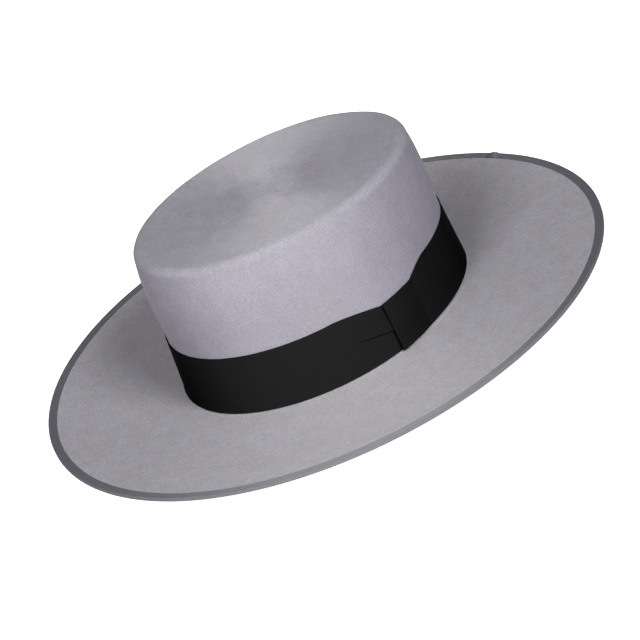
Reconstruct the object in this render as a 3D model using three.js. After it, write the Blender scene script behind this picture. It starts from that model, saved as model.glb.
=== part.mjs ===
// Gaucho hat: one blocked felt body with a flat oval crown and a wide, slightly dished brim, a ribbon folded over
// the brim's edge, a wide ribbon band round the crown, and the short ribbon that gathers the band at the side.
// Millimetres, +Z up. The front faces -Y and the wearer's left is +X. The hat rests on the flat ring round its
// head opening. The origin is on that level, under the middle of the brim.
import * as THREE from 'three';

// Felt body
const headLength = 199; // inside of the head opening, front to back
const headWidth = 162.8; // inside of the head opening, side to side
const feltThickness = 2.2;
const crownHeight = 103.7; // top of the rim above the level that the hat rests on
const crownTaper = 5.2; // how far each side leans in from the foot to the rim
const crownLean = 2.2; // how far the top sits forward of the foot
const rimRadius = 6; // rounded edge of the crown's flat top
const crownDish = 1; // how far the middle of the top lies below its rim
const footRadius = 2; // hollow fillet where the crown meets the brim
const mouthRadius = 3; // rounded inner edge of the head opening
const brimLength = 384.2; // front to back, over the binding
const brimWidth = 354.6; // side to side, over the binding
const brimRiseSide = 9.2; // how far its edge stands above the ring round the opening
const brimRiseFront = 6.2; // where it dips in front
const brimRiseBack = 7.4; // where it dips behind
const brimTwist = 12; // degrees by which both dips lie round from front and back
const brimCurl = 1.5; // power of the brim's upward curve, 1 is a straight cone
const restWidth = 8; // flat ring that the hat rests on

// Ribbon folded over the brim's edge
const bindingWidth = 5.7;
const bindingThickness = 1;
const boundFeltThickness = 1.2; // the felt is pressed thinner inside the binding
const boundFeltRun = 2; // stretch over which it gets thinner

// Ribbon band round the crown
const bandWidth = 38.3;
const bandThickness = 1;
const bandRide = 3; // how much higher it sits behind than in front
const rideFrom = 55; // degrees round from the front where it starts to climb, and so on
const rideTo = 140;
const fallFrom = 210;
const fallTo = 310;

// Knot that gathers the band, with one pleat running out of its front edge
const knotAngle = 95; // degrees round from the front towards the wearer's left
const knotWidth = 27;
const knotThickness = 1.2;
const knotSwell = 0.6; // how far the middle of its face stands out
const gatherFront = 7.2; // how much narrower the band is at the knot's front edge
const gatherBack = 6.3; // and at its back edge
const gatherFrontRun = 34; // how far in front of the knot the gather starts
const gatherBackRun = 14; // how far behind the knot it ends
const gatherEase = 1.5; // power of the gather's curve
const pleatLength = 28;
const pleatDepth = 0.8;
const pleatStep = 0.6; // height of the pleat's underside

const clearance = 0.3; // between touching pieces
const segments = 72; // steps round the hat

// The crown's side from foot to rim. height is a share of the wall's height, taper a share of crownTaper.
const crownSide = [
  { height: 0, taper: 0 },
  { height: 0.22, taper: 0.32 },
  { height: 0.43, taper: 0.58 },
  { height: 0.58, taper: 0.55 },
  { height: 0.74, taper: 0.56 },
  { height: 0.89, taper: 0.72 },
  { height: 1, taper: 1 },
];

// The crown's flat top. reach is a share of the flat part's half size, dish a share of crownDish.
const crownTop = [
  { reach: 0.2, dish: 1 },
  { reach: 0.55, dish: 0.75 },
  { reach: 0.85, dish: 0.25 },
];

// The brim from the resting ring to the bound edge, as shares of its reach.
const brimSteps = [0.25, 0.5, 0.75];

// The band's face beside its pleat. height is a share of the width above or below the pleat, fold of pleatDepth.
const bandAbovePleat = [
  { height: 1, fold: 0 },
  { height: 0.45, fold: 0.3 },
  { height: 0, fold: 1 },
];
const bandBelowPleat = [
  { height: 1, fold: 0 },
  { height: 0.5, fold: 0 },
  { height: 0, fold: 0 },
];
const pleatHeight = { atKnot: 0.46, atEnd: 0.57 }; // shares of the band's width

const wallFoot = feltThickness + footRadius;
const wallTop = crownHeight - rimRadius;
const knotTurn = THREE.MathUtils.degToRad(knotAngle);
const sideRadius = headLength / 2 + feltThickness; // the oval's turning radius at the wearer's side
const feltEdge = { halfLength: brimLength / 2 - bindingThickness - clearance,
  halfWidth: brimWidth / 2 - bindingThickness - clearance };
const brimReach = Math.min(feltEdge.halfLength - headLength / 2, feltEdge.halfWidth - headWidth / 2)
  - mouthRadius - restWidth;

// Evenly spaced numbers from start to end, both included.
function spaced(start, end, count) {
  return Array.from({ length: count }, (_, i) => THREE.MathUtils.lerp(start, end, i / (count - 1)));
}

// The value of a table's column at a height between its rows.
function columnAt(rows, column, height) {
  const upper = Math.max(1, rows.findIndex((row) => row.height >= height));
  const [below, above] = [rows[upper - 1], rows[upper]];
  return THREE.MathUtils.mapLinear(height, below.height, above.height, below[column], above[column]);
}

// How far the brim's edge stands above the ring at an angle.
function brimRiseAt(angle) {
  const along = Math.cos(angle - THREE.MathUtils.degToRad(brimTwist));
  return THREE.MathUtils.lerp(brimRiseSide, along > 0 ? brimRiseFront : brimRiseBack, along ** 2);
}

// A point of an oval line, at an angle round from the front towards the wearer's left. On the brim, rise is the
// share of the edge's height that the line has.
function ovalPoint(level, angle) {
  return new THREE.Vector3(
    level.halfWidth * Math.sin(angle),
    -level.halfLength * Math.cos(angle) - level.forward,
    level.z + (level.rise ?? 0) * brimRiseAt(angle),
  );
}

// The level line of the head opening, widened by out.
function mouthLevel(out, z) {
  return { halfLength: headLength / 2 + out, halfWidth: headWidth / 2 + out, z, forward: 0 };
}

// The level line of the crown's outer face at height z, moved outwards by out.
function crownLevel(z, out) {
  const share = THREE.MathUtils.clamp((z - wallFoot) / (wallTop - wallFoot), 0, 1);
  const side = feltThickness - crownTaper * columnAt(crownSide, 'taper', share) + out;
  return { ...mouthLevel(side, z), forward: crownLean * share };
}

// The line of the brim's middle layer, inset from the felt's edge, raised by up.
function brimLevel(inset, up) {
  const share = THREE.MathUtils.clamp(1 - inset / brimReach, 0, 1);
  return {
    halfLength: feltEdge.halfLength - inset,
    halfWidth: feltEdge.halfWidth - inset,
    z: feltThickness / 2 + up,
    rise: share ** brimCurl,
    forward: 0,
  };
}

// A closed mesh over rows of points, where each row is a closed line and ends says how the first and last row
// close: 'joined' to each other, 'fan' to a middle point, or 'strip' across a row whose second half runs back.
function closedSurface(rows, ends) {
  const count = rows[0].length;
  const points = rows.flat();
  const faces = [];
  const quad = (a, b, c, d) => faces.push(a, b, c, a, c, d);
  const bands = ends === 'joined' ? rows.length : rows.length - 1;
  for (let i = 0; i < bands; i++) {
    const here = i * count;
    const next = ((i + 1) % rows.length) * count;
    for (let j = 0; j < count; j++) {
      const k = (j + 1) % count;
      quad(here + j, next + j, next + k, here + k);
    }
  }
  const last = points.length - count;
  if (ends === 'fan') {
    const middle = (row) => row.reduce((sum, p) => sum.add(p), new THREE.Vector3()).divideScalar(count);
    const start = points.push(middle(rows[0])) - 1;
    const end = points.push(middle(rows[rows.length - 1])) - 1;
    for (let j = 0; j < count; j++) {
      const k = (j + 1) % count;
      faces.push(start, j, k);
      faces.push(end, last + k, last + j);
    }
  }
  if (ends === 'strip') {
    for (let j = 0; j < count / 2 - 1; j++) {
      const back = count - 1 - j;
      quad(j, j + 1, back - 1, back);
      quad(last + j, last + back, last + back - 1, last + j + 1);
    }
  }
  const geometry = new THREE.BufferGeometry().setFromPoints(points);
  geometry.setIndex(faces);
  geometry.computeVertexNormals();
  return geometry;
}

const turns = spaced(0, 2 * Math.PI, segments + 1).slice(0, segments);

function ring(level) {
  return turns.map((angle) => ovalPoint(level, angle));
}

// Crown and brim in one wall of felt: down the outside from the middle of the top, over the brim to its edge,
// back along the underside and up the inside.
function feltBody() {
  const flatLevel = (row, drop) => {
    const edge = crownLevel(wallTop, -rimRadius);
    return { ...edge, halfLength: edge.halfLength * row.reach, halfWidth: edge.halfWidth * row.reach,
      z: crownHeight - drop - crownDish * row.dish };
  };
  const rimLevel = (radius, angle) => ({
    ...crownLevel(wallTop, -rimRadius + radius * Math.cos(angle)),
    z: wallTop + radius * Math.sin(angle),
  });
  const wallHeights = crownSide.map((row) => THREE.MathUtils.lerp(wallFoot, wallTop, row.height));
  const seat = bindingWidth - bindingThickness - clearance;
  const edgeInsets = [seat + boundFeltRun, seat + clearance, 0];
  const half = (inset) => (inset > seat + clearance ? feltThickness : boundFeltThickness) / 2;
  const upperBrim = [
    mouthLevel(mouthRadius + restWidth, feltThickness),
    ...brimSteps.map((step) => brimLevel(brimReach * (1 - step), feltThickness / 2)),
    ...edgeInsets.map((inset) => brimLevel(inset, half(inset))),
  ];
  const lowerBrim = [
    ...edgeInsets.toReversed().map((inset) => brimLevel(inset, -half(inset))),
    ...brimSteps.toReversed().map((step) => brimLevel(brimReach * (1 - step), -feltThickness / 2)),
    mouthLevel(mouthRadius + restWidth, 0),
  ];
  const foot = spaced(0, Math.PI / 2, 4).map((angle) => mouthLevel(
    feltThickness + footRadius * (1 - Math.cos(angle)),
    wallFoot - footRadius * Math.sin(angle),
  ));
  const mouth = spaced(0, Math.PI / 2, 4).map((angle) => mouthLevel(
    mouthRadius * (1 - Math.sin(angle)),
    mouthRadius * (1 - Math.cos(angle)),
  ));
  const levels = [
    ...crownTop.map((row) => flatLevel(row, 0)),
    ...spaced(Math.PI / 2, 0, 5).map((angle) => rimLevel(rimRadius, angle)),
    ...wallHeights.slice(1, -1).toReversed().map((z) => crownLevel(z, 0)),
    ...foot,
    ...upperBrim,
    ...lowerBrim,
    ...mouth,
    ...wallHeights.slice(0, -1).map((z) => crownLevel(z, -feltThickness)),
    ...spaced(0, Math.PI / 2, 4).map((angle) => rimLevel(rimRadius - feltThickness, angle)),
    ...crownTop.toReversed().map((row) => flatLevel(row, feltThickness)),
  ];
  return closedSurface(levels.map(ring), 'fan');
}

// Ribbon folded over the felt's edge, with two rounded folds outside and a square seat inside.
function edgeBinding() {
  const inner = boundFeltThickness / 2 + clearance;
  const outer = inner + bindingThickness;
  const reach = bindingWidth - bindingThickness - clearance;
  const fold = (start, end, middle) => spaced(start, end, 3).map((angle) => brimLevel(
    -clearance - bindingThickness * Math.cos(angle),
    middle + bindingThickness * Math.sin(angle),
  ));
  const levels = [
    brimLevel(reach, outer),
    ...fold(Math.PI / 2, 0, inner),
    ...fold(0, -Math.PI / 2, -inner),
    brimLevel(reach, -outer),
    brimLevel(reach, -inner),
    brimLevel(-clearance, -inner),
    brimLevel(-clearance, inner),
    brimLevel(reach, inner),
  ];
  return closedSurface(levels.map(ring), 'joined');
}

// How far an angle lies in front of the knot's front edge and behind its back edge, along the crown. Both are
// below zero elsewhere.
function beyondKnot(angle) {
  const along = (angle - knotTurn) * sideRadius;
  return { front: -along - knotWidth / 2, back: along - knotWidth / 2 };
}

// The share of the knot's width that lies in front of an angle, from 0 at its front edge to 1 at its back edge.
function acrossKnot(angle) {
  return THREE.MathUtils.clamp(beyondKnot(angle).back / knotWidth + 1, 0, 1);
}

// The band's width at an angle: full round the crown, narrower where the knot gathers it.
function bandWidthAt(angle) {
  const { front, back } = beyondKnot(angle);
  const fade = (distance, run) => THREE.MathUtils.clamp(1 - distance / run, 0, 1) ** gatherEase;
  const gather = THREE.MathUtils.lerp(gatherFront, gatherBack, acrossKnot(angle));
  return bandWidth - gather * fade(front, gatherFrontRun) * fade(back, gatherBackRun);
}

// How far the pleat stands out at an angle. It grows towards the knot and dies out under it.
function pleatAt(angle) {
  const grown = THREE.MathUtils.clamp(1 - beyondKnot(angle).front / pleatLength, 0, 1);
  return pleatDepth * grown * (1 - acrossKnot(angle));
}

// How high the band's lower edge is at an angle.
function bandFootAt(angle) {
  const turn = THREE.MathUtils.radToDeg(angle);
  const { smoothstep } = THREE.MathUtils;
  return wallFoot + bandRide * (smoothstep(turn, rideFrom, rideTo) - smoothstep(turn, fallFrom, fallTo));
}

// A point on the band's outer face, a share of the way up it, standing out from the felt by out.
function bandPoint(angle, height, out) {
  return ovalPoint(crownLevel(bandFootAt(angle) + bandWidthAt(angle) * height, out), angle);
}

function hatBand() {
  const nearKnot = (angle) => {
    const { front, back } = beyondKnot(angle);
    return front < gatherFrontRun && back < gatherBackRun;
  };
  const step = turns[1];
  const angles = turns.flatMap((angle) => (nearKnot(angle) ? [angle, angle + step / 2] : [angle]));
  const face = clearance + bandThickness;
  const pleatLine = (angle) => {
    const along = THREE.MathUtils.clamp(beyondKnot(angle).front / pleatLength, 0, 1);
    return THREE.MathUtils.lerp(pleatHeight.atKnot, pleatHeight.atEnd, along);
  };
  const above = bandAbovePleat.map((row) => (angle) => bandPoint(
    angle,
    THREE.MathUtils.lerp(pleatLine(angle), 1, row.height),
    face + pleatAt(angle) * row.fold,
  ));
  const below = bandBelowPleat.map((row) => (angle) => bandPoint(
    angle,
    (pleatLine(angle) - pleatStep / bandWidth) * row.height,
    face + pleatAt(angle) * row.fold,
  ));
  const back = [0, 0.5, 1].map((height) => (angle) => bandPoint(angle, height, clearance));
  const rows = [...above, ...below, ...back].map((place) => angles.map(place));
  return closedSurface(rows, 'joined');
}

// Short ribbon that lies over the gathered band and folds over its top edge against the crown.
function bandKnot() {
  const halfTurn = knotWidth / 2 / sideRadius;
  const sections = spaced(-halfTurn, halfTurn, 9).map((turn) => {
    const angle = knotTurn + turn;
    const across = acrossKnot(angle);
    const under = 2 * clearance + bandThickness + pleatDepth * (1 - across);
    const over = under + knotThickness + knotSwell * 4 * across * (1 - across);
    const foot = bandFootAt(angle);
    const top = foot + bandWidthAt(angle) + clearance;
    const heights = spaced(foot, top, 4);
    const side = (out, lip, rise) => [
      ...heights.slice(0, -1).map((z) => crownLevel(z, out)),
      crownLevel(top + rise, out),
      crownLevel(top + rise, lip),
    ];
    const outside = side(over, clearance, knotThickness);
    const inside = side(under, clearance, 0);
    return [...outside, ...inside.toReversed()].map((level) => ovalPoint(level, angle));
  });
  return closedSurface(sections, 'strip');
}

function piece(name, geometry, material) {
  const mesh = new THREE.Mesh(geometry, material);
  mesh.name = name;
  return mesh;
}

const felt = new THREE.MeshStandardMaterial({ color: 0xaeacb3, roughness: 0.95, metalness: 0 });
const edgeRibbon = new THREE.MeshStandardMaterial({ color: 0x5c626b, roughness: 0.6, metalness: 0 });
const bandRibbon = new THREE.MeshStandardMaterial({ color: 0x1a1a1b, roughness: 0.7, metalness: 0 });

const hat = new THREE.Group();
hat.add(piece('felt_body', feltBody(), felt));
hat.add(piece('edge_binding', edgeBinding(), edgeRibbon));
hat.add(piece('hat_band', hatBand(), bandRibbon));
hat.add(piece('band_knot', bandKnot(), bandRibbon));

export default hat;
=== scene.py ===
"""A gaucho hat of light grey fur felt, its brim bound with slate ribbon and its crown banded with black.

Metres, +Z up. The front faces -Y and the wearer's left, where the band's knot is, is +X.
"""

import math
from typing import NamedTuple

import bpy
from mathutils import Matrix, Vector


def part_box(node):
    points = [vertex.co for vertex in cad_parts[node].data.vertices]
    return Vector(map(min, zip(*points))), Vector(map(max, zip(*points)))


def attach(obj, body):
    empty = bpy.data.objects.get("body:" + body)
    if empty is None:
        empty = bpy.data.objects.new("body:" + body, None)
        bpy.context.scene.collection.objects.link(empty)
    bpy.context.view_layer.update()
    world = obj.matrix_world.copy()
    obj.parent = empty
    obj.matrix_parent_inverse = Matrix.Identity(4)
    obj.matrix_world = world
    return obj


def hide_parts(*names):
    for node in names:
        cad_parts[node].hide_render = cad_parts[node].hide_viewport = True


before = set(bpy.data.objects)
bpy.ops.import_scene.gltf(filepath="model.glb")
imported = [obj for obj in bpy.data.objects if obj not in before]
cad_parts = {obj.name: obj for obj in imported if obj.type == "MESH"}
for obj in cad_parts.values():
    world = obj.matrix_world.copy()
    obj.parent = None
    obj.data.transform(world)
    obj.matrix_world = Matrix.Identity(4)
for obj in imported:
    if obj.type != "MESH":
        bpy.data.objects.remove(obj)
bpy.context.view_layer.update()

MM = 0.001

# Sizes that the solids hold
crown_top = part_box("felt_body")[1].z
edge_half_width, edge_half_length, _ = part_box("edge_binding")[1]
band_half_width, band_half_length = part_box("hat_band")[1].x, -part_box("hat_band")[0].y
BAND_SOLID_STANDS_OUT = 1.3 * MM  # the solid band's outer face, from the felt's

# Felt body
FELT_THICKNESS = 2.2 * MM
BOUND_FELT_THICKNESS = 1.6 * MM  # inside the ribbon at its edge
BOUND_FELT_RUN = 3 * MM  # stretch over which it gets thinner
CROWN_TAPER = 5.2 * MM
CROWN_LEAN = 2.2 * MM
RIM_RADIUS = 6 * MM
CROWN_DISH = 1 * MM
LID_ENDS_AT = 0.02  # the innermost ring of the crown's top, as a share of its size, before it is closed
FOOT_RADIUS = 2 * MM
FLAT_RING = 8.8 * MM  # from the crown's foot to where the brim starts to rise
BRIM_RISE = {"side": 9.2 * MM, "front": 6.2 * MM, "back": 7.4 * MM}
BRIM_TWIST = math.radians(12)  # how far its dips lie round from front and back
BRIM_CURL = 1.5  # power of the brim's upward curve
WAVES = {"size": 60 * MM, "height": 1.1 * MM}  # where hands have left the felt a little uneven
LUMPS = {"size": 14 * MM, "height": 0.22 * MM}
UNEVEN_CROWN = {"from": 46 * MM, "to": 60 * MM}  # heights, above the band
UNEVEN_BRIM = {"from": 0.66, "to": 0.78}  # shares of the way out to the brim's edge
EVEN_EDGE = {"from": 0.905, "to": 0.955}
BRIM_LIES_BELOW = 20 * MM

# Ribbon folded over the brim's edge
BINDING_WIDTH = 5.7 * MM
BINDING_THICKNESS = 0.45 * MM
BINDING_GAP = 0.03 * MM
BINDING_FOLD = 0.6 * MM  # radius of its two folds at the edge
JOIN_TURN = math.radians(191.5)  # where the binding's end laps over its start, round from the front
JOIN_LENGTH = 6 * MM
JOIN_SLOPE = 1.5 * MM
JOIN_LIFT = 0.65 * MM

# Ribbon band round the crown
BAND_WIDTH = 39.6 * MM
BAND_THICKNESS = 0.7 * MM
BAND_STANDS_OUT = 0.9 * MM
BAND_SHOWS_FROM = 2.4 * MM  # height of its lower edge
BAND_RIDE = 3 * MM  # how much higher it sits behind than in front
BAND_CLIMBS = {"from": math.radians(55), "to": math.radians(140)}  # round from the front
BAND_FALLS = {"from": math.radians(210), "to": math.radians(310)}

# Knot that gathers the band, and the pleat that runs out of its front edge
KNOT_TURN = math.radians(95)
KNOT_WIDTH = 27 * MM
KNOT_THICKNESS = 0.5 * MM
KNOT_FRONT_LIFT = {"low": 2.5 * MM, "high": 1.7 * MM}  # how far its front fold stands off the band
KNOT_BACK_LIFT = {"low": 0.02 * MM, "high": 0.8 * MM}
KNOT_TUCK = 0.4 * MM  # how far it rises above the band's upper edge
KNOT_SWELL = 0.15 * MM
KNOT_GAP = 0.1 * MM  # between the knot and the plain band under it
KNOT_HEM_RADIUS = 2 * MM  # rounding of its lower edge
KNOT_HEM_CUT = 1.4 * MM  # how much of that rounding is cut off below
KNOT_BACK_THICKNESS = {"low": 0.15, "high": 0.9}  # shares of KNOT_THICKNESS, at its back edge
KNOT_DROP = 0.7 * MM  # how far its lower front corner hangs below the band
KNOT_DROP_RUN = {"back": 11 * MM, "up": 9 * MM}  # how far from that corner the hang ends
GATHER_FRONT = 7.2 * MM
GATHER_BACK = 6.3 * MM
GATHER_FRONT_RUN = 34 * MM
GATHER_BACK_RUN = 20 * MM
GATHER_EASE = 1.5
PLEAT_LENGTH = 28 * MM
PLEAT_DEPTH = 1.1 * MM
PLEAT_STEP = 0.03  # share of the band's width between the pleat's fold and the ribbon under it
PLEAT_GROWTH = 0.35  # power of its growth towards the knot
PLEAT_AT_KNOT = 0.46  # share of the band's width
PLEAT_AT_END = 0.57
PLEAT_FADES = 0.8  # share of the way to the band's upper edge over which its lift ends
MOST_DROP = 12 * MM  # more than the gather and the band's ride pull any corner down

# Corners round each piece, and rings of them along its section
FELT_CORNERS = 240
FELT_RINGS = {"brim": 50, "flat": 3, "foot": 6, "side": 34, "rim": 10, "lid": 26}
BINDING_CORNERS = 900
BINDING_RINGS = {"face": 5, "fold": 4}
BAND_CORNERS = 720
BAND_RINGS = {"below pleat": 14, "above pleat": 13}
KNOT_CORNERS = 2200
KNOT_RINGS = {"face": 40, "tuck": 5}

# The crown's side. height is a share of the wall's height, taper a share of CROWN_TAPER.
CROWN_SIDE = [
    {"height": 0.0, "taper": 0.0},
    {"height": 0.22, "taper": 0.32},
    {"height": 0.43, "taper": 0.58},
    {"height": 0.58, "taper": 0.55},
    {"height": 0.74, "taper": 0.56},
    {"height": 0.89, "taper": 0.72},
    {"height": 1.0, "taper": 1.0},
]

wall_foot = FELT_THICKNESS + FOOT_RADIUS
wall_top = crown_top - RIM_RADIUS
foot_half_width = band_half_width - BAND_SOLID_STANDS_OUT
foot_half_length = band_half_length - BAND_SOLID_STANDS_OUT
binding_skin = BINDING_THICKNESS + BINDING_GAP
brim_reach = (edge_half_width + edge_half_length - foot_half_width - foot_half_length) / 2 - FLAT_RING
most_dip = BRIM_RISE["side"] - BRIM_RISE["front"]
side_radius = foot_half_length  # the oval's turning radius at the wearer's side
most_knot_lift = KNOT_FRONT_LIFT["low"] + KNOT_SWELL


def clamp(value):
    return max(0.0, min(1.0, value))


def between(start, end, share):
    return start + (end - start) * share


def ease(share):
    """0 to 1 with a level start and end."""
    share = clamp(share)
    return share * share * (3 - 2 * share)


def rise(value, start, end):
    """0 up to a start and 1 from an end, with a smooth rise between."""
    return ease((value - start) / (end - start))


def steps(count, start=0.0, end=1.0):
    """Even steps from start to end, both included."""
    return [between(start, end, i / count) for i in range(count + 1)]


def column_at(rows, column, height):
    """A table's column at a height between its rows, on a smooth curve through them."""
    upper = next((i for i, row in enumerate(rows) if i and row["height"] >= height), len(rows) - 1)

    def slope(i):
        before, after = rows[max(0, i - 1)], rows[min(len(rows) - 1, i + 1)]
        return (after[column] - before[column]) / (after["height"] - before["height"])

    below, above = rows[upper - 1], rows[upper]
    run = above["height"] - below["height"]
    t = clamp((height - below["height"]) / run)
    start_pull = (t**3 - 2 * t**2 + t) * run * slope(upper - 1)
    end_pull = (t**3 - t**2) * run * slope(upper)
    return between(below[column], above[column], ease(t)) + start_pull + end_pull


class Level(NamedTuple):
    """A level oval line round the hat."""

    half_width: float
    half_length: float
    height: float
    forward: float = 0.0

    def wider(self, out):
        return self._replace(half_width=self.half_width + out, half_length=self.half_length + out)


def crown_level(height, out=0.0):
    """The line round the crown's outer face at a height, moved outwards by out."""
    share = clamp((height - wall_foot) / (wall_top - wall_foot))
    side = out - CROWN_TAPER * column_at(CROWN_SIDE, "taper", share)
    return Level(foot_half_width, foot_half_length, height, CROWN_LEAN * share).wider(side)


def brim_height(share):
    """How high the middle of the brim's felt is at the side, from its flat ring at 0 to its edge at 1."""
    return FELT_THICKNESS / 2 + BRIM_RISE["side"] * clamp(share) ** BRIM_CURL


def brim_thickness(inset):
    """The felt's thickness at a distance in from the hat's edge."""
    full = rise(inset, BINDING_WIDTH - BOUND_FELT_RUN / 2, BINDING_WIDTH + BOUND_FELT_RUN / 2)
    return between(BOUND_FELT_THICKNESS, FELT_THICKNESS, full)


def turn_of(place, level):
    """How far round from the front a place is, towards the wearer's left, from 0 to a full turn."""
    angle = math.atan2(place.x / level.half_width, -(place.y + level.forward) / level.half_length)
    return angle % (2 * math.pi)


def way_out(place):
    """How far out a place is, as a share of the way from the hat's middle to its edge."""
    return math.hypot(place.x / edge_half_width, place.y / edge_half_length)


def inset_of(place):
    """How far in from the hat's edge a place is."""
    return (1 - way_out(place)) * (edge_half_width + edge_half_length) / 2


def brim_dips(place):
    """How far the brim dips at a place, as a share of the most: its edge is lower in front and behind."""
    along = math.cos(turn_of(place, Level(edge_half_width, edge_half_length, 0)) - BRIM_TWIST)
    dip = BRIM_RISE["side"] - BRIM_RISE["front" if along > 0 else "back"]
    out = clamp(1 - max(0, inset_of(place) - binding_skin) / brim_reach)
    return dip / most_dip * along**2 * out**BRIM_CURL


def dip_brim(piece):
    dips = weigh(piece, "brim dips", brim_dips)
    apply_modifier(piece, "DISPLACE", direction="Z", strength=-most_dip, mid_level=0, vertex_group=dips)


def start_ring(name, level, corners):
    """A new piece that is one ring of corners on a level line, all selected in edit mode."""
    bpy.ops.object.select_all(action="DESELECT")
    bpy.ops.mesh.primitive_circle_add(vertices=corners, radius=1)
    piece = bpy.context.object
    piece.name = piece.data.name = name
    bpy.ops.object.mode_set(mode="EDIT")
    bpy.ops.mesh.select_mode(type="VERT")
    bpy.ops.mesh.select_all(action="SELECT")
    bpy.ops.transform.resize(value=(level.half_width, level.half_length, 1), center_override=(0, 0, 0))
    bpy.ops.transform.translate(value=(0, -level.forward, level.height))
    return piece


def draw_on(levels):
    """Extrudes the selected ring, which lies on the first level line, along the others."""
    for here, there in zip(levels, levels[1:]):
        move = (0, here.forward - there.forward, there.height - here.height)
        size = (there.half_width / here.half_width, there.half_length / here.half_length, 1)
        bpy.ops.mesh.extrude_edges_move(TRANSFORM_OT_translate={"value": move})
        bpy.ops.transform.resize(value=size, center_override=(0, -there.forward, there.height))


def face_out(piece, outwards):
    """Ends edit mode and turns the faces so that the first one looks outwards."""
    bpy.ops.mesh.select_all(action="SELECT")
    bpy.ops.mesh.normals_make_consistent(inside=False)
    bpy.ops.object.mode_set(mode="OBJECT")
    if piece.data.polygons[0].normal.dot(outwards(piece.data.polygons[0].center)) < 0:
        bpy.ops.object.mode_set(mode="EDIT")
        bpy.ops.mesh.flip_normals()
        bpy.ops.object.mode_set(mode="OBJECT")


def upwards(place):
    return Vector((0, 0, 1))


def sideways(place):
    return Vector((place.x, place.y, 0))


def weigh(piece, name, rule):
    """A vertex group with weights from a rule of place."""
    group = piece.vertex_groups.new(name=name)
    for corner in piece.data.vertices:
        weight = rule(corner.co)
        if weight > 0:
            group.add([corner.index], clamp(weight), "REPLACE")
    return name


def apply_modifier(piece, kind, **settings):
    """Puts a modifier on a piece and applies it."""
    bpy.context.view_layer.objects.active = piece
    modifier = piece.modifiers.new(kind.lower(), kind)
    for name, value in settings.items():
        setattr(modifier, name, value)
    bpy.ops.object.modifier_apply(modifier=modifier.name)


def clouds(name, size):
    """A soft texture whose lumps are about this large."""
    texture = bpy.data.textures.new(name, "CLOUDS")
    texture.noise_scale = size
    texture.noise_depth = 1
    return texture


def smooth(piece, sharpest):
    """Shades a piece smoothly, apart from edges sharper than this many degrees."""
    bpy.ops.object.select_all(action="DESELECT")
    piece.select_set(True)
    bpy.context.view_layer.objects.active = piece
    bpy.ops.object.shade_smooth_by_angle(angle=math.radians(sharpest))


def settle(piece, node, material):
    """The piece stands for its solid, rides with the hat and takes its finish."""
    piece.data.materials.append(material)
    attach(piece, "root")
    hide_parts(node)


# Felt body


def felt_levels():
    """The felt's outer face from the brim's edge to the middle of the crown's top."""
    edge = Level(edge_half_width, edge_half_length, 0).wider(-binding_skin)
    ring = Level(foot_half_width, foot_half_length, FELT_THICKNESS).wider(FLAT_RING)
    brim = [
        Level(
            between(ring.half_width, edge.half_width, share),
            between(ring.half_length, edge.half_length, share),
            brim_height(share) + brim_thickness(binding_skin + brim_reach * (1 - share)) / 2,
        )
        for share in steps(FELT_RINGS["brim"], 1, 0)
    ]
    flat_steps = steps(FELT_RINGS["flat"], FLAT_RING, FOOT_RADIUS)
    flat = [crown_level(FELT_THICKNESS, out) for out in flat_steps[1:-1]]
    foot = [
        crown_level(wall_foot - FOOT_RADIUS * math.sin(a), FOOT_RADIUS * (1 - math.cos(a)))
        for a in steps(FELT_RINGS["foot"], math.pi / 2, 0)
    ]
    side = [crown_level(height) for height in steps(FELT_RINGS["side"], wall_foot, wall_top)[1:-1]]
    top = crown_level(wall_top, -RIM_RADIUS)
    rim = [
        top.wider(RIM_RADIUS * math.cos(a))._replace(height=wall_top + RIM_RADIUS * math.sin(a))
        for a in steps(FELT_RINGS["rim"], 0, math.pi / 2)
    ]
    lid = [
        top._replace(
            half_width=top.half_width * reach,
            half_length=top.half_length * reach,
            height=crown_top - CROWN_DISH * (1 - reach**2),
        )
        for reach in steps(FELT_RINGS["lid"], 1, LID_ENDS_AT)[1:]
    ]
    return brim + flat + foot + side + rim + lid


def felt_is_free(place):
    """Where hands have left the felt a little uneven: not on its resting ring or under a ribbon."""
    if place.z > BRIM_LIES_BELOW:
        return rise(place.z, UNEVEN_CROWN["from"], UNEVEN_CROWN["to"])
    out = way_out(place)
    on_brim = rise(out, UNEVEN_BRIM["from"], UNEVEN_BRIM["to"])
    return on_brim * (1 - rise(out, EVEN_EDGE["from"], EVEN_EDGE["to"]))


def felt_thins(place):
    """The felt's thickness at a place, as a share of the full one."""
    return brim_thickness(inset_of(place)) / FELT_THICKNESS


def build_felt():
    levels = felt_levels()
    felt = start_ring("felt", levels[0], FELT_CORNERS)
    draw_on(levels)
    bpy.ops.mesh.extrude_edges_move()
    bpy.ops.mesh.merge(type="CENTER")
    face_out(felt, upwards)
    free = weigh(felt, "free felt", felt_is_free)
    thin = weigh(felt, "thickness", felt_thins)
    dip_brim(felt)
    for name, uneven in (("slow waves", WAVES), ("small lumps", LUMPS)):
        texture = clouds(name, uneven["size"])
        apply_modifier(felt, "DISPLACE", texture=texture, strength=uneven["height"], vertex_group=free)
    apply_modifier(
        felt, "SOLIDIFY", thickness=FELT_THICKNESS, offset=-1, use_even_offset=True, vertex_group=thin
    )
    smooth(felt, 40)
    return felt


# Ribbon folded over the brim's edge


def binding_level(inset, up):
    """A line of the binding's section: inset from the hat's edge, and raised from the middle of the felt."""
    outer = Level(edge_half_width, edge_half_length, 0)
    share = 1 - max(0.0, inset - binding_skin) / brim_reach
    return outer.wider(-inset)._replace(height=brim_height(share) + up)


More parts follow.
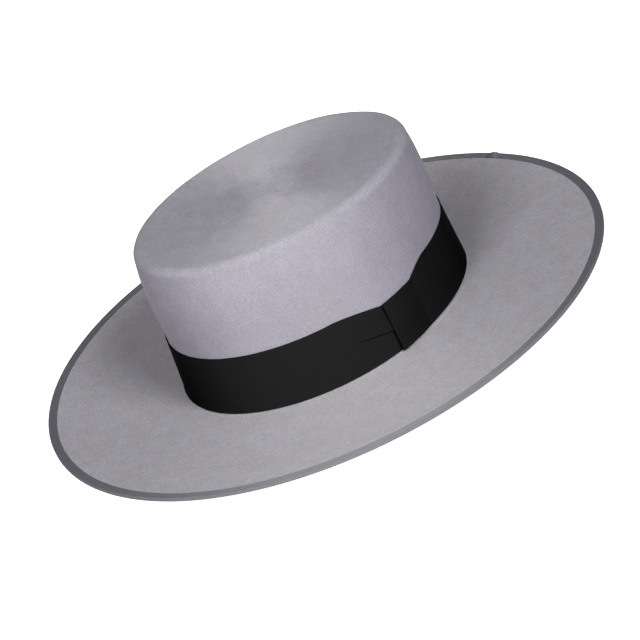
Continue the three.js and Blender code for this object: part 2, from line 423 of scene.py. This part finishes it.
def binding_levels():
    """The binding's outer face from its inner line on top, round the edge, to its inner line underneath."""
    half = BOUND_FELT_THICKNESS / 2 + binding_skin
    fold = BINDING_FOLD
    face = [(inset, half) for inset in steps(BINDING_RINGS["face"], BINDING_WIDTH, fold)]
    turn_down = [
        (fold * (1 - math.sin(a)), half - fold * (1 - math.cos(a)))
        for a in steps(BINDING_RINGS["fold"], 0, math.pi / 2)[1:]
    ]
    upper = face + turn_down
    lower = [(inset, -up) for inset, up in reversed(upper)]
    return [binding_level(inset, up) for inset, up in upper + lower]


def at_join(place):
    """1 where the binding's end laps over its start."""
    turn = turn_of(place, Level(edge_half_width, edge_half_length, 0))
    along = abs(turn - JOIN_TURN) * edge_half_width
    return 1 - rise(along, (JOIN_LENGTH - JOIN_SLOPE) / 2, (JOIN_LENGTH + JOIN_SLOPE) / 2)


def build_binding():
    levels = binding_levels()
    binding = start_ring("binding", levels[0], BINDING_CORNERS)
    draw_on(levels)
    face_out(binding, upwards)
    dip_brim(binding)
    lapped = weigh(binding, "lapped end", at_join)
    apply_modifier(binding, "DISPLACE", strength=JOIN_LIFT, mid_level=0, vertex_group=lapped)
    apply_modifier(binding, "SOLIDIFY", thickness=BINDING_THICKNESS, offset=-1, use_even_offset=True)
    smooth(binding, 50)
    return binding


# Ribbon band round the crown


def beyond_knot(turn):
    """How far a place lies in front of the knot's front edge, and behind its back edge."""
    along = (turn - KNOT_TURN) * side_radius
    return -along - KNOT_WIDTH / 2, along - KNOT_WIDTH / 2


def across_knot(turn):
    """0 at the knot's front edge and 1 at its back edge."""
    return clamp(beyond_knot(turn)[1] / KNOT_WIDTH + 1)


def band_width_at(turn):
    front, back = beyond_knot(turn)
    fade = clamp(1 - max(0, front) / GATHER_FRONT_RUN) * clamp(1 - max(0, back) / GATHER_BACK_RUN)
    return BAND_WIDTH - between(GATHER_FRONT, GATHER_BACK, across_knot(turn)) * fade**GATHER_EASE


def pleat_line(turn):
    """The height of the pleat's fold, as a share of the band's width."""
    return between(PLEAT_AT_KNOT, PLEAT_AT_END, clamp(beyond_knot(turn)[0] / PLEAT_LENGTH))


def pleat_grown(turn):
    """How far the pleat has opened: nothing at its end, all of it at the knot."""
    opened = clamp(1 - max(0, beyond_knot(turn)[0]) / PLEAT_LENGTH) ** PLEAT_GROWTH
    return opened * (1 - across_knot(turn))


def band_ride(turn):
    """How much higher the band sits than in front, as a share of BAND_RIDE."""
    climb = rise(turn, BAND_CLIMBS["from"], BAND_CLIMBS["to"])
    fall = rise(turn, BAND_FALLS["from"], BAND_FALLS["to"])
    return climb - fall


def band_place(place):
    """How far round a corner of the straight band is, and its share of the band's width."""
    share = (place.z - BAND_SHOWS_FROM) / BAND_WIDTH
    return turn_of(place, crown_level(place.z)), share


def gathered_down(place):
    """How far the gather and the pleat's slope pull a corner of the straight band down."""
    turn, share = band_place(place)
    line = pleat_line(turn)
    if share < PLEAT_AT_END:
        new_share = share * line / PLEAT_AT_END
    else:
        new_share = between(line, 1, (share - PLEAT_AT_END) / (1 - PLEAT_AT_END))
    fallen = share * BAND_WIDTH - new_share * band_width_at(turn) + BAND_RIDE * (1 - band_ride(turn))
    return fallen / MOST_DROP


def pleat_lifts(place):
    """How far the pleat lifts a corner, from the line that its fold follows upwards."""
    turn, share = band_place(place)
    above = (share - PLEAT_AT_END) / (1 - PLEAT_AT_END)
    if above < -PLEAT_STEP / 2:
        return 0
    return pleat_grown(turn) * (1 - rise(above, 0, PLEAT_FADES))


def lay_on_crown(piece, felt, fallen, stands_out):
    """Lifts a straight ribbon to its highest place, lets it fall to where it lies and fits it to the felt."""
    apply_modifier(piece, "DISPLACE", direction="Z", strength=BAND_RIDE, mid_level=0)
    apply_modifier(piece, "DISPLACE", direction="Z", strength=-MOST_DROP, mid_level=0, vertex_group=fallen)
    apply_modifier(piece, "SHRINKWRAP", target=felt, wrap_mode="ABOVE_SURFACE", offset=stands_out)


def build_band(felt):
    below = steps(BAND_RINGS["below pleat"], 0, PLEAT_AT_END - PLEAT_STEP)
    above = steps(BAND_RINGS["above pleat"], PLEAT_AT_END, 1)
    levels = [crown_level(BAND_SHOWS_FROM + BAND_WIDTH * share, BAND_STANDS_OUT) for share in below + above]
    band = start_ring("band", levels[0], BAND_CORNERS)
    draw_on(levels)
    face_out(band, sideways)
    fallen = weigh(band, "fallen", gathered_down)
    pleat = weigh(band, "pleat", pleat_lifts)
    lay_on_crown(band, felt, fallen, BAND_STANDS_OUT)
    apply_modifier(band, "DISPLACE", strength=PLEAT_DEPTH, mid_level=0, vertex_group=pleat)
    apply_modifier(band, "SOLIDIFY", thickness=BAND_THICKNESS, offset=-1)
    smooth(band, 20)
    return band


# Knot that gathers the band


def knot_place(place):
    """How far a corner of the straight knot is from its front edge, and its shares across and up it."""
    turn, up = band_place(place)
    return -beyond_knot(turn)[0], across_knot(turn), up


def rounded(distance, radius):
    """The height of a rounded edge, as a share, at a distance in from it."""
    return math.sqrt(1 - (1 - clamp(distance / radius)) ** 2)


def knot_lift(place):
    """How far the knot stands off the band, as a share of the most."""
    _, across, up = knot_place(place)
    front_lift = between(KNOT_FRONT_LIFT["low"], KNOT_FRONT_LIFT["high"], up)
    back_lift = between(KNOT_BACK_LIFT["low"], KNOT_BACK_LIFT["high"], clamp(up) ** 2)
    lift = between(front_lift, back_lift, across) + KNOT_SWELL * 4 * across * (1 - across)
    return lift * rounded(BAND_WIDTH * up + KNOT_HEM_CUT, KNOT_HEM_RADIUS) / most_knot_lift


def knot_thins(place):
    """The knot's ribbon lies thinner where its back edge runs into the band, more so low down."""
    _, across, up = knot_place(place)
    at_back = between(KNOT_BACK_THICKNESS["low"], KNOT_BACK_THICKNESS["high"], rise(up, 0.5, 0.8))
    return between(1, at_back, rise(across, 0.8, 1))


def knot_hangs(place):
    """How far the knot's lower front corner hangs down."""
    front, _, up = knot_place(place)
    near_front = 1 - rise(front, 0, KNOT_DROP_RUN["back"])
    return near_front * (1 - rise(up * BAND_WIDTH, 0, KNOT_DROP_RUN["up"]))


def knot_fallen(place):
    """How far the gather and the band's ride pull a corner of the straight knot down."""
    turn, share = band_place(place)
    fallen = share * (BAND_WIDTH - band_width_at(turn)) + BAND_RIDE * (1 - band_ride(turn))
    return fallen / MOST_DROP


def knot_tucks(place):
    """How far the ribbon curls in over the band's upper edge."""
    over = clamp((place.z - BAND_SHOWS_FROM - BAND_WIDTH) / KNOT_TUCK)
    return 1 - math.sqrt(1 - over**2)


def build_knot(felt):
    skin = BAND_STANDS_OUT + KNOT_GAP
    top = BAND_SHOWS_FROM + BAND_WIDTH
    face = steps(KNOT_RINGS["face"], BAND_SHOWS_FROM, top)
    tuck = [top + KNOT_TUCK * math.sin(a) for a in steps(KNOT_RINGS["tuck"], 0, math.pi / 2)[1:]]
    levels = [crown_level(height, skin) for height in face + tuck]
    knot = start_ring("knot", levels[0], KNOT_CORNERS)
    bpy.ops.mesh.select_all(action="DESELECT")
    bpy.ops.object.mode_set(mode="OBJECT")
    for corner in knot.data.vertices:
        corner.select = max(beyond_knot(turn_of(corner.co, levels[0]))) > 0
    bpy.ops.object.mode_set(mode="EDIT")
    bpy.ops.mesh.delete(type="VERT")
    bpy.ops.mesh.select_all(action="SELECT")
    draw_on(levels)
    face_out(knot, sideways)
    fallen = weigh(knot, "fallen", knot_fallen)
    hangs = weigh(knot, "lower corner", knot_hangs)
    lift = weigh(knot, "lift", knot_lift)
    tucked = weigh(knot, "tucked in", knot_tucks)
    thin = weigh(knot, "thickness", knot_thins)
    lay_on_crown(knot, felt, fallen, skin)
    apply_modifier(knot, "DISPLACE", direction="Z", strength=-KNOT_DROP, mid_level=0, vertex_group=hangs)
    apply_modifier(knot, "DISPLACE", strength=most_knot_lift, mid_level=0, vertex_group=lift)
    apply_modifier(knot, "DISPLACE", strength=KNOT_THICKNESS - skin, mid_level=0, vertex_group=tucked)
    apply_modifier(knot, "SOLIDIFY", thickness=KNOT_THICKNESS, offset=-1, vertex_group=thin)
    smooth(knot, 50)
    return knot


# Materials

# The felt's colour, index of refraction and share of anisotropy on its brim, its crown's side and top. The
# colours are set to how light falls on each face: painted shade makes the side darker and more violet, and
# the top darker than the brim.
FELT_COLOUR_AND_PAINTED_SHADE = {
    "brim": (0.195, 0.187, 0.207, 1),
    "side": (0.157, 0.1435, 0.187, 1),
    "top": (0.174, 0.168, 0.194, 1),
}
FELT_SHINE = {"brim": 2.2, "side": 2.68, "top": 2.27}
NAP_LIE = {"brim": 0.8, "side": 0.95, "top": 0.85}
BRIM_TO_SIDE = {"from": 12 * MM, "to": 50 * MM}  # heights over which the brim's finish becomes the side's
TOP_IS_REACHED = 1.5 * MM  # below the crown's highest point
FELT_TINTS = {"low": (1.06, 1.0, 0.91, 1), "high": (0.94, 1.0, 1.1, 1)}  # warm and cool patches
FIBRE_SIZE = 1.2 * MM
FIBRE_DEPTH = 0.3 * MM
PATCH_SIZE = 9 * MM
NAP_PATCH = 14 * MM  # the size of the patches in which the nap strays
NAP_STRAYS = 26 * MM  # how far it strays, against a place's distance from the crown's middle
NAP_SETTLES = 25 * MM  # within this of the crown's middle the nap loses its direction

SLATE = (0.053, 0.056, 0.069, 1)
BLACK = (0.0012, 0.0012, 0.0013, 1)
RIB_WIDTH = 0.8 * MM
THREAD_SIZE = 0.8 * MM
QUARTER_TURN = 0.25  # lays a highlight across the threads


def add_node(tree, kind, inputs=None, **settings):
    """A shader node with its settings, and its sockets set or joined."""
    node = tree.nodes.new("ShaderNode" + kind)
    for name, value in settings.items():
        setattr(node, name, value)
    for name, value in (inputs or {}).items():
        if isinstance(value, bpy.types.NodeSocket):
            tree.links.new(value, node.inputs[name])
        else:
            node.inputs[name].default_value = value
    return node


def maths(tree, operation, *values):
    return add_node(tree, "Math", dict(enumerate(values)), operation=operation).outputs[0]


def vector_maths(tree, operation, inputs):
    return add_node(tree, "VectorMath", inputs, operation=operation)


def new_group(name, inputs, outputs):
    """An empty node group with named sockets, each a value or a place."""
    group = bpy.data.node_groups.new(name, "ShaderNodeTree")
    for sockets, in_out in ((inputs, "INPUT"), (outputs, "OUTPUT")):
        for socket, kind in sockets.items():
            group.interface.new_socket(socket, in_out=in_out, socket_type="NodeSocket" + kind)
    return group, group.nodes.new("NodeGroupInput").outputs, group.nodes.new("NodeGroupOutput").inputs


def place_group(tree, group, **inputs):
    node = tree.nodes.new("ShaderNodeGroup")
    node.node_tree = group
    for name, value in inputs.items():
        socket = node.inputs[name.replace("_", " ").capitalize()]
        if isinstance(value, bpy.types.NodeSocket):
            tree.links.new(value, socket)
        else:
            socket.default_value = value
    return node.outputs


def cloth_grain():
    """Fine mottle of matted or woven fibres: Shade is near 1, Height from 0 to 1."""
    group, given, made = new_group(
        "cloth grain",
        {"Place": "Vector", "Grain size": "Float", "Contrast": "Float"},
        {"Shade": "Float", "Height": "Float"},
    )
    per_metre = maths(group, "DIVIDE", 1.0, given["Grain size"])
    noise = add_node(
        group, "TexNoise", {"Vector": given["Place"], "Scale": per_metre, "Detail": 2.0, "Roughness": 0.6}
    ).outputs["Fac"]
    swing = maths(group, "MULTIPLY", maths(group, "SUBTRACT", noise, 0.5), given["Contrast"])
    group.links.new(maths(group, "ADD", swing, 1.0), made["Shade"])
    group.links.new(noise, made["Height"])
    return group


def ribbon_ribs():
    """The fine upright cords of a ribbed ribbon, by the distance along it: Height from 0 to 1."""
    group, given, made = new_group(
        "ribbon ribs", {"Along": "Float", "Rib width": "Float"}, {"Height": "Float"}
    )
    turns = maths(group, "DIVIDE", given["Along"], given["Rib width"])
    wave = maths(group, "SINE", maths(group, "MULTIPLY", turns, 2 * math.pi))
    group.links.new(maths(group, "MULTIPLY_ADD", wave, 0.5, 0.5), made["Height"])
    return group


def along_oval(tree, place, level):
    """The distance round the hat of a place, near enough for ribs to keep an even width."""
    x, y, _ = add_node(tree, "SeparateXYZ", {"Vector": place}).outputs
    turn = maths(
        tree,
        "ARCTAN2",
        maths(tree, "DIVIDE", x, level.half_width),
        maths(tree, "DIVIDE", maths(tree, "ADD", y, level.forward), -level.half_length),
    )
    return maths(tree, "MULTIPLY", turn, (level.half_width + level.half_length) / 2)


def times(tree, colour, *shades):
    """A colour made lighter or darker by masks that are near 1."""
    for shade in shades:
        colour = add_node(
            tree, "Mix", {"Factor": 1.0, 6: colour, 7: shade}, data_type="RGBA", blend_type="MULTIPLY"
        ).outputs[2]
    return colour


def blend(tree, share, low, high):
    """A colour between two, each a socket or fixed."""
    return add_node(tree, "Mix", {"Factor": share, 6: low, 7: high}, data_type="RGBA").outputs[2]


def between_values(tree, share, low, high):
    return add_node(tree, "Mix", {"Factor": share, 2: low, 3: high}, data_type="FLOAT").outputs[0]


def rises(tree, value, start, end):
    """0 up to a start and 1 from an end, with a smooth rise between."""
    sockets = {"Value": value, "From Min": start, "From Max": end}
    return add_node(tree, "MapRange", sockets, interpolation_type="SMOOTHSTEP").outputs[0]


def new_material(name):
    material = bpy.data.materials.new(name)
    material.use_nodes = True
    tree = material.node_tree
    tree.nodes.clear()
    shader = tree.nodes.new("ShaderNodeBsdfPrincipled")
    output = tree.nodes.new("ShaderNodeOutputMaterial")
    tree.links.new(shader.outputs[0], output.inputs[0])
    place = tree.nodes.new("ShaderNodeTexCoord").outputs["Object"]
    return material, tree, shader, place


def round_the_hat(tree, place):
    """The level direction round the hat at a place, as long as the place is far from the hat's middle."""
    return vector_maths(tree, "CROSS_PRODUCT", {0: (0, 0, 1), 1: place}).outputs[0]


def nap_direction(tree, place):
    """Fibres brushed round the hat that stray a little from their course."""
    noise = add_node(tree, "TexNoise", {"Vector": place, "Scale": 1 / NAP_PATCH, "Detail": 3.0})
    stray = vector_maths(tree, "SUBTRACT", {0: noise.outputs["Color"], 1: (0.5, 0.5, 0.5)}).outputs[0]
    stray = vector_maths(tree, "SCALE", {0: stray, "Scale": NAP_STRAYS}).outputs[0]
    return vector_maths(tree, "ADD", {0: round_the_hat(tree, place), 1: stray}).outputs[0]


def bump(tree, shader, height, distance):
    node = add_node(tree, "Bump", {"Height": height, "Distance": distance})
    tree.links.new(node.outputs[0], shader.inputs["Normal"])


def felt_finish(grain):
    """Brushed felt. Brim, crown's side and crown's top differ a little in shine and lie of the nap, and in
    colour by painted shade.
    """
    material, tree, shader, place = new_material("brushed fur felt")
    fine = place_group(tree, grain, place=place, grain_size=FIBRE_SIZE, contrast=1.1)
    patches = place_group(tree, grain, place=place, grain_size=PATCH_SIZE, contrast=0.35)
    height = add_node(tree, "SeparateXYZ", {"Vector": place}).outputs[2]
    on_crown = rises(tree, height, BRIM_TO_SIDE["from"], BRIM_TO_SIDE["to"])
    on_top = rises(tree, height, wall_top, crown_top - TOP_IS_REACHED)

    def by_place(mix, values):
        """The brim's value, the side's or the top's, with soft changes between them."""
        return mix(tree, on_top, mix(tree, on_crown, values["brim"], values["side"]), values["top"])

    tint = blend(tree, patches["Height"], FELT_TINTS["low"], FELT_TINTS["high"])
    # Painted shade: the side's colour is darker and more violet, and the top's darker than the brim's.
    colour = times(tree, by_place(blend, FELT_COLOUR_AND_PAINTED_SHADE), tint, fine["Shade"], patches["Shade"])
    from_middle = vector_maths(tree, "LENGTH", {0: round_the_hat(tree, place)}).outputs[1]
    settled = rises(tree, from_middle, 0, NAP_SETTLES)
    lie = maths(tree, "MULTIPLY", by_place(between_values, NAP_LIE), settled)
    tree.links.new(colour, shader.inputs["Base Color"])
    tree.links.new(by_place(between_values, FELT_SHINE), shader.inputs["IOR"])
    tree.links.new(lie, shader.inputs["Anisotropic"])
    tree.links.new(nap_direction(tree, place), shader.inputs["Tangent"])
    shader.inputs["Anisotropic Rotation"].default_value = QUARTER_TURN
    shader.inputs["Roughness"].default_value = 1.0
    shader.inputs["Specular Tint"].default_value = (1, 0.99, 0.97, 1)
    shader.inputs["Sheen Weight"].default_value = 0.25
    shader.inputs["Sheen Roughness"].default_value = 0.15
    bump(tree, shader, fine["Height"], FIBRE_DEPTH)
    return material


def ribbon_finish(name, colour, grain, ribs, along_of, rib_depth, roughness, shine, edge_shine):
    """Ribbed ribbon: cords across it, painted shade in the grooves between them, a fine mottle and a silky
    shine. along_of gives the way along it.
    """
    material, tree, shader, place = new_material(name)
    fine = place_group(tree, grain, place=place, grain_size=THREAD_SIZE, contrast=0.5)
    cords = place_group(tree, ribs, along=along_of(tree, place), rib_width=RIB_WIDTH)
    # Painted shade: the colour is darker in the grooves between the cords.
    painted_groove_shade = maths(tree, "MULTIPLY_ADD", cords["Height"], 0.25, 0.85)
    facing = tree.nodes.new("ShaderNodeLayerWeight").outputs["Facing"]
    edge_on = rises(tree, facing, 0.25, 0.75)
    tree.links.new(times(tree, colour, fine["Shade"], painted_groove_shade), shader.inputs["Base Color"])
    tree.links.new(between_values(tree, edge_on, 0.5, edge_shine), shader.inputs["Specular IOR Level"])
    tree.links.new(round_the_hat(tree, place), shader.inputs["Tangent"])
    shader.inputs["Anisotropic Rotation"].default_value = QUARTER_TURN
    shader.inputs["Anisotropic"].default_value = 0.9
    shader.inputs["Roughness"].default_value = roughness
    shader.inputs["IOR"].default_value = shine
    bump(tree, shader, cords["Height"], rib_depth)
    return material


def edge_ribbon_finish(grain, ribs):
    edge = Level(edge_half_width, edge_half_length, 0)
    return ribbon_finish(
        "slate edge ribbon",
        SLATE,
        grain,
        ribs,
        lambda tree, place: along_oval(tree, place, edge),
        rib_depth=0.1 * MM,
        roughness=0.92,
        shine=2.45,
        edge_shine=0.5,
    )


def black_ribbon_finish(name, grain, ribs, along_of):
    return ribbon_finish(
        name, BLACK, grain, ribs, along_of, rib_depth=0.06 * MM, roughness=0.85, shine=1.295, edge_shine=0.04
    )


def band_ribbon_finish(grain, ribs):
    """The band's ribbon runs round the crown."""
    foot = crown_level(wall_foot)
    return black_ribbon_finish(
        "black band ribbon", grain, ribs, lambda tree, place: along_oval(tree, place, foot)
    )


def knot_ribbon_finish(grain, ribs):
    """The knot's ribbon runs upright."""
    return black_ribbon_finish(
        "black knot ribbon",
        grain,
        ribs,
        lambda tree, place: add_node(tree, "SeparateXYZ", {"Vector": place}).outputs[2],
    )


# Camera, light and floor

# The photograph's view: angles in degrees, places in metres and the lens in millimetres
VIEW_AZIMUTH = 62.2
VIEW_ELEVATION = 27.3
VIEW_ROLL = -22.58
VIEW_DISTANCE = 1.4743
VIEW_AIM = Vector((-0.0033, -0.0025, 0.0034))
LENS = 130.3
STUDIO_GLOW = 0.005
FLOOR_SIZE = 14
FLOOR_GAP = 0.05 * MM  # keeps the floor clear of the felt that rests on it


def direction(azimuth, elevation):
    """The unit vector towards a place round the hat. Azimuth 0 is in front and 90 on the wearer's left."""
    a, e = math.radians(azimuth), math.radians(elevation)
    return Vector((math.sin(a) * math.cos(e), -math.cos(a) * math.cos(e), math.sin(e)))


def look_back(towards):
    """The rotation of a camera or lamp that lies in a direction and looks back, upright."""
    return (-towards).to_track_quat("-Z", "Y").to_matrix()


def set_camera():
    back = direction(VIEW_AZIMUTH, VIEW_ELEVATION)
    camera = bpy.data.objects.new("camera", bpy.data.cameras.new("camera"))
    bpy.context.scene.collection.objects.link(camera)
    turn = look_back(back) @ Matrix.Rotation(math.radians(VIEW_ROLL), 3, "Z")
    camera.matrix_world = Matrix.Translation(VIEW_AIM + back * VIEW_DISTANCE) @ turn.to_4x4()
    camera.data.lens = LENS
    bpy.context.scene.camera = camera


def soft_lamp(name, azimuth, elevation, distance, size, power):
    lamp = bpy.data.objects.new(name, bpy.data.lights.new(name, "AREA"))
    bpy.context.scene.collection.objects.link(lamp)
    lamp.data.size = size
    lamp.data.energy = power
    towards = direction(azimuth, elevation)
    lamp.matrix_world = Matrix.Translation(towards * distance) @ look_back(towards).to_4x4()


def set_light():
    soft_lamp("right key", azimuth=96, elevation=40, distance=6, size=2.2, power=400)
    soft_lamp("left key", azimuth=29, elevation=40, distance=6, size=2.2, power=275)
    soft_lamp("high", azimuth=32, elevation=65, distance=6, size=3.2, power=90)
    soft_lamp("front", azimuth=2, elevation=40, distance=6, size=3.2, power=58)
    world = bpy.data.worlds.new("studio")
    world.use_nodes = True
    glow = world.node_tree.nodes["Background"].inputs
    glow["Strength"].default_value = STUDIO_GLOW
    glow["Color"].default_value = (1, 1, 1, 1)
    bpy.context.scene.world = world
    bpy.context.scene.view_settings.view_transform = "Standard"


def lay_floor():
    """The floor looks plain white, and throws little light back up under the hat's edge."""
    bpy.ops.object.select_all(action="DESELECT")
    bpy.ops.mesh.primitive_plane_add(size=FLOOR_SIZE, location=(0, 0, -FLOOR_GAP))
    floor = bpy.context.object
    floor.name = "floor"
    material, tree, shader, _ = new_material("white floor")
    shader.inputs["Base Color"].default_value = (0.65, 0.65, 0.65, 1)
    shader.inputs["Roughness"].default_value = 0.9
    shader.inputs["Emission Color"].default_value = (1, 1, 1, 1)
    seen = tree.nodes.new("ShaderNodeLightPath").outputs["Is Camera Ray"]
    tree.links.new(seen, shader.inputs["Emission Strength"])
    floor.data.materials.append(material)


set_camera()
set_light()
lay_floor()

grain = cloth_grain()
ribs = ribbon_ribs()
felt = build_felt()
binding = build_binding()
band = build_band(felt)
knot = build_knot(felt)

settle(felt, "felt_body", felt_finish(grain))
settle(binding, "edge_binding", edge_ribbon_finish(grain, ribs))
settle(band, "hat_band", band_ribbon_finish(grain, ribs))
settle(knot, "band_knot", knot_ribbon_finish(grain, ribs))
